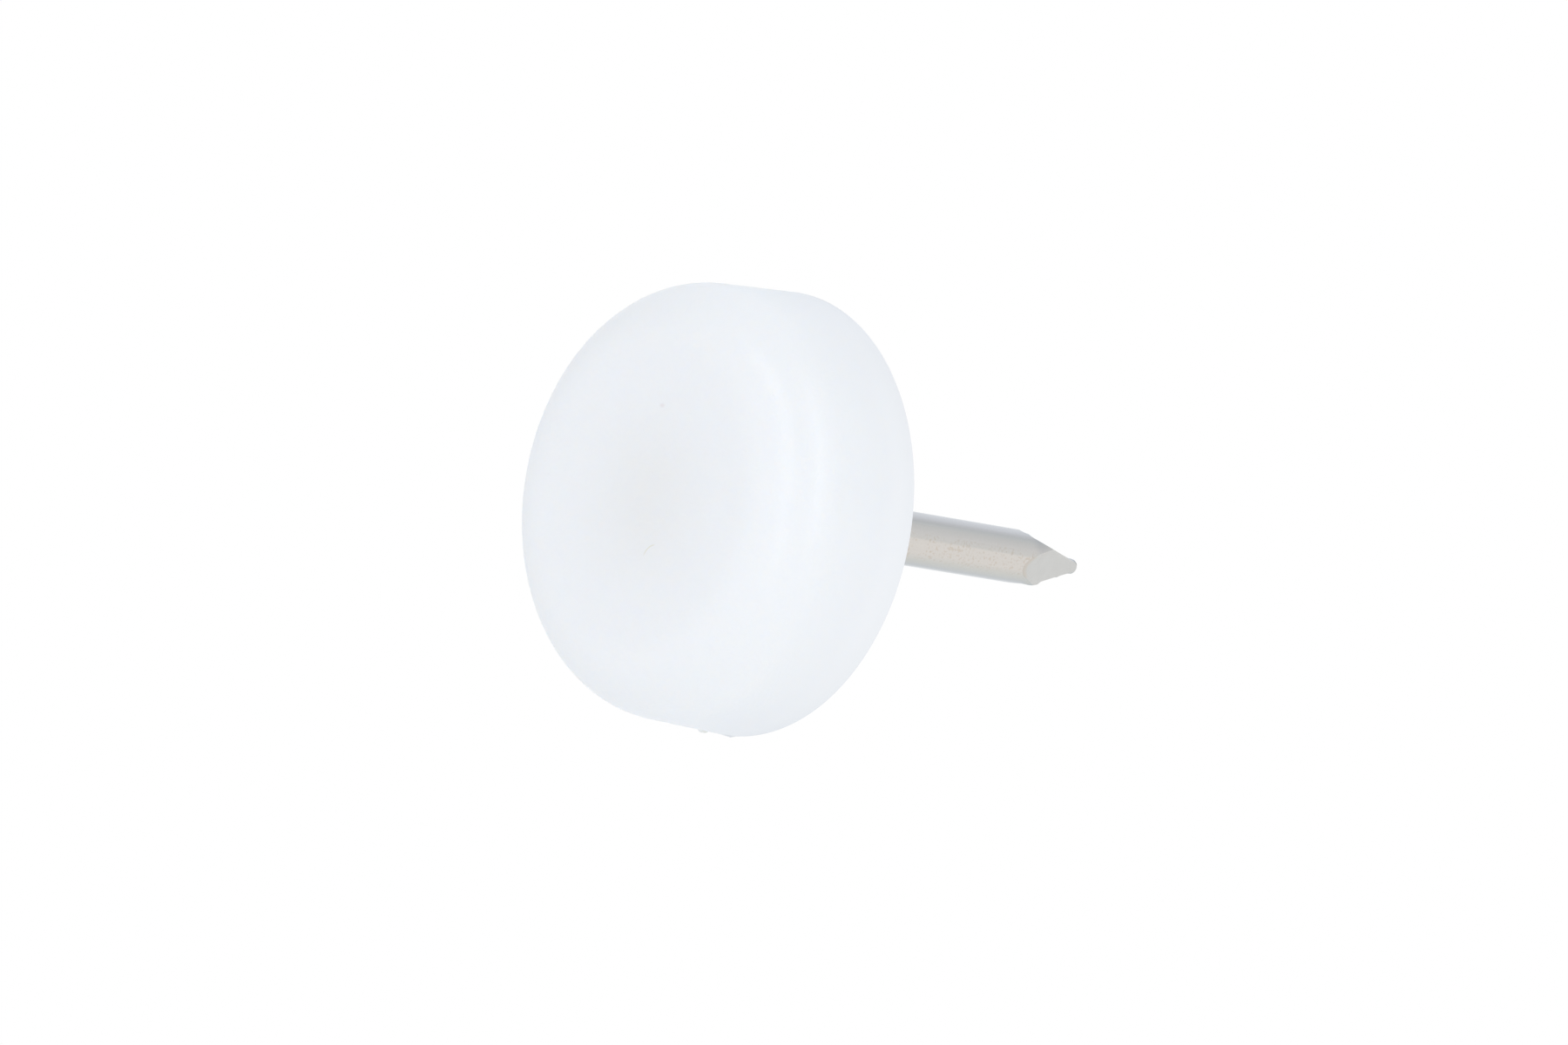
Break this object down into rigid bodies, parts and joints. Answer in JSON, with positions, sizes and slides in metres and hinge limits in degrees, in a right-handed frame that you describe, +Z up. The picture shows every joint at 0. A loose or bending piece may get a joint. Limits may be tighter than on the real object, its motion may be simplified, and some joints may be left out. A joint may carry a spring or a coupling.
{
  "type": "nail-on furniture glide",
  "caption": "Round white plastic glide with a flat, round-edged face and a pointed steel nail moulded into its back, hammered into the end of a chair or table leg.",
  "frame": {"origin": "centre of the glide face, on the floor that the part stands on", "axes": "+Z up along the nail, from the glide face to the nail's point; the broad front flat of the point faces -Y, turned 20.7 degrees towards +X"},
  "size_m": [0.02, 0.02, 0.0271],
  "materials": {
    "white_plastic": "white, slightly translucent moulded plastic with a fine satin grain",
    "plated_steel": "satin plated wire with fine pits, and ground flats at the point"
  },
  "bodies": {
    "root": {"glide_cap": "white_plastic", "nail": "plated_steel"}
  },
  "joints": []
}
